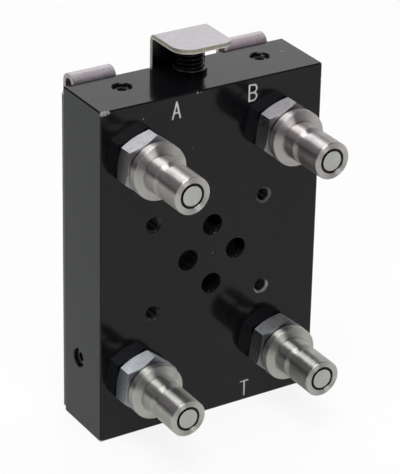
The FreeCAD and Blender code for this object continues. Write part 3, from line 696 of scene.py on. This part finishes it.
def seal_rubber():
    shader = Shader("seal_rubber")
    cloud = shader.noise(500.0)
    shader.set(
        Base_Color=shader.ramp(cloud, (0.3, 0.75), RUBBERS),
        Roughness=0.5,
        Specular_IOR_Level=0.25,
        Normal=shader.bump(cloud, 0.01 * MM, 0.4),
    )
    return shader.material


# Which node wears what

def dress(node, material):
    for slot in frame["nodes"][node].material_slots:
        slot.material = material


def dress_sheet():
    plate, torn_plate = (0.54, 0.51, 0.52), (0.10, 0.105, 0.09)
    latch, torn_latch = (0.375, 0.362, 0.372), (0.26, 0.25, 0.19)
    dress("back_plate", sheet_steel("satin_plate", plate, 0.42, 0.8, plate_edges, torn_plate))
    dress("latch_slide", sheet_steel("satin_latch", latch, 0.24, 0.04, latch_edges, torn_latch))


def dress_nodes():
    dress("manifold_block", anodised_black())
    dress_sheet()
    plain, rubber = plain_steel(), seal_rubber()
    dress("plate_screws", plain)
    oxide = dark_steel("black_oxide", 0.06, 0.28, 0.9)
    for node in frame["nodes"]:
        if node.startswith("plug_"):
            dress(node, oxide)
    dress("spring_cup", dark_steel("cup_black", 0.006, 0.32, 0.35, True))
    dress("latch_spring", dark_steel("spring_black", 0.010, 0.30))
    for key in NIPPLES:
        dress(f"nose_{key}", nose_steel(key))
        dress(f"adapter_{key}", milled_steel(key))
        dress(f"poppet_{key}", poppet_steel(key))
        for node in ("port_seal", "body_seal", "tip_seal"):
            dress(f"{node}_{key}", rubber)
        for node in ("valve_spring", "spring_guide"):
            dress(f"{node}_{key}", plain)


# Springs

def add_spring(node):
    """A copy of a CAD spring in its place, on its own mesh and hung on the plate assembly's body.
    """
    spring = frame["nodes"][node]
    coil = bpy.data.objects.new(f"{node}_coil", spring.data.copy())
    coil.matrix_world = spring.matrix_world.copy()
    scene.collection.objects.link(coil)
    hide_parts(node)
    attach(coil, "plate_assembly")
    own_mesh(coil)


def add_springs():
    """The latch's spring stands on its foot, and the valves' springs on their guides."""
    add_spring("latch_spring")
    for key, (x, z) in NIPPLES.items():
        add_spring(f"valve_spring_{key}")


# Studio

WARM_WHITE = (0.985, 0.97, 1.0)
FILL_WHITE = (1.0, 0.97, 1.0)
FLOOR_WHITE = (0.88, 0.88, 0.875, 1.0)
FLOOR_HALF = 4.0
FLOOR_GLOW_SHARE = 0.88
BRIGHT_SIDE = (0.85, 0.50, 0.12)
ROOM = ((0.12, 0.10, 0.13), (0.98, 0.97, 1.0))


def area_light(name, place, target, size, radiance, colour=(1.0, 1.0, 1.0), along=(0.0, 0.0, 1.0)):
    """A softbox that faces a point. Its second side runs along the given direction."""
    data = bpy.data.lights.new(name, "AREA")
    data.shape = "RECTANGLE"
    data.size, data.size_y = size
    data.energy = math.pi * size[0] * size[1] * radiance
    data.color = colour
    lamp = bpy.data.objects.new(name, data)
    scene.collection.objects.link(lamp)
    back = (Vector(place) - Vector(target)).normalized()
    right = Vector(along).cross(back).normalized()
    turn = Matrix((right, back.cross(right), back)).transposed().to_4x4()
    lamp.matrix_world = Matrix.Translation(place) @ turn


def add_floor():
    """A white floor, which the camera and mirror rays see as an even glow with faint shadows."""
    mesh = bpy.data.meshes.new("studio_floor")
    corners = [(x * FLOOR_HALF, y * FLOOR_HALF, 0) for x, y in ((-1, -1), (1, -1), (1, 1), (-1, 1))]
    mesh.from_pydata(corners, [], [(0, 1, 2, 3)])
    floor = bpy.data.objects.new("studio_floor", mesh)
    scene.collection.objects.link(floor)
    shader = Shader("floor_white")
    shader.set(Base_Color=FLOOR_WHITE, Roughness=0.9)
    glow = shader.node("Emission", {"Color": (1.0, 1.0, 1.0, 1.0), "Strength": 1.0}).outputs[0]
    path = shader.node("LightPath").outputs
    rays = ("Is Camera Ray", "Is Glossy Ray", "Is Transmission Ray")
    share = shader.product(shader.largest(*(path[ray] for ray in rays)), FLOOR_GLOW_SHARE)
    blend = shader.node("MixShader", {0: share, 1: shader.surface.outputs[0], 2: glow})
    shader.feed(shader.tree.nodes["Material Output"].inputs["Surface"], blend.outputs[0])
    mesh.materials.append(shader.material)


def add_world():
    """A dim room with a bright wall on the object's right and behind it."""
    world = bpy.data.worlds.new("studio")
    scene.world = world
    world.use_nodes = True
    nodes = Nodes(world.node_tree)
    place = nodes.node("TexCoord").outputs["Generated"]
    share = nodes.slope(nodes.vector("DOT_PRODUCT", place, BRIGHT_SIDE, "Value"), 0.25, 0.75)
    background = world.node_tree.nodes["Background"]
    nodes.feed(background.inputs["Color"], nodes.ramp(share, (0.0, 1.0), ROOM))
    nodes.feed(background.inputs["Strength"], 1.0)


def add_studio():
    add_floor()
    add_world()
    middle, tab = (0.0, 0.0, 0.06), (0.0, 0.0, 0.115)
    depth = (0.0, 1.0, 0.0)
    area_light("key_softbox", (-0.17, -0.28, 1.0), middle, (0.57, 0.85), 5.2, WARM_WHITE, depth)
    area_light("top_softbox", (0.10, 0.47, 0.95), middle, (0.45, 0.50), 1.8, WARM_WHITE, depth)
    area_light("back_softbox", (0.51, 0.82, 0.60), tab, (0.9, 0.55), 0.45)
    area_light("left_fill", (-0.75, -0.1, 0.75), middle, (0.8, 1.2), 0.35, FILL_WHITE, depth)
    area_light("front_strip", (-0.12, -0.88, 0.54), middle, (0.17, 0.6), 2.7)


add_camera()
dress_nodes()
add_springs()
add_studio()
